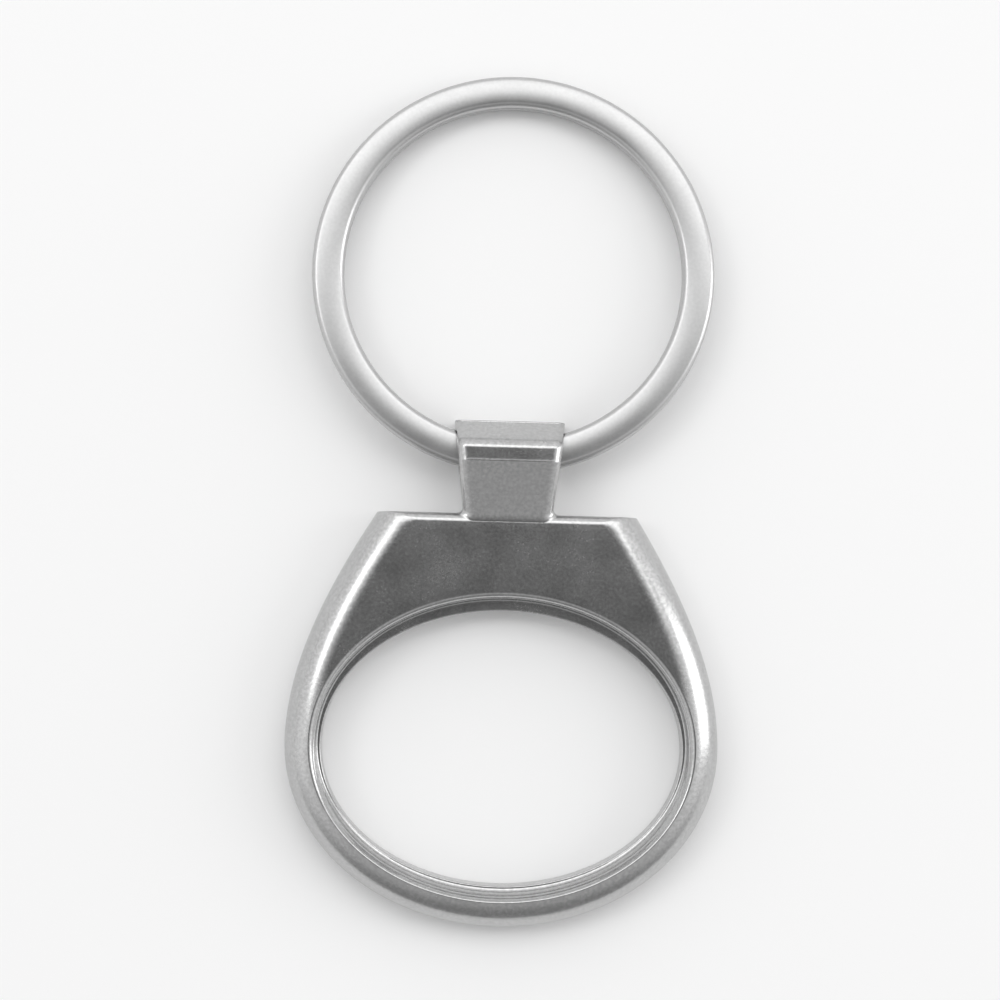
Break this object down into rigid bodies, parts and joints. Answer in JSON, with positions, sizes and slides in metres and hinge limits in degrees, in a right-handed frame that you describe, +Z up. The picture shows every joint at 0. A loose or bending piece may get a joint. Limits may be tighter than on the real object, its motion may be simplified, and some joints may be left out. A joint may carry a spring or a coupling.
{
  "type": "keychain bottle opener",
  "caption": "Ring-shaped cast metal bottle opener with an oval cap mouth, a stepped lip that lifts the cap, and a flat split key ring hinged in a sloped eye.",
  "frame": {"origin": "centre of the footprint, on the plane that the opener lies on", "axes": "+X across the body, +Y from the bowl of the body to the far side of the key ring, +Z up out of the front face"},
  "size_m": [0.038, 0.075, 0.0062],
  "materials": {
    "satin_casting": "satin plated casting",
    "satin_wire": "satin"
  },
  "bodies": {
    "opener": {"opener_body": "satin_casting"},
    "ring": {"split_ring": "satin_wire"}
  },
  "joints": [
    {"name": "ring_swing", "type": "hinge", "parent": "opener", "child": "ring", "pos_m": [0, 0.00346, 0.00308], "axis": [1, 0, 0], "range_deg": [-132, 158]}
  ]
}
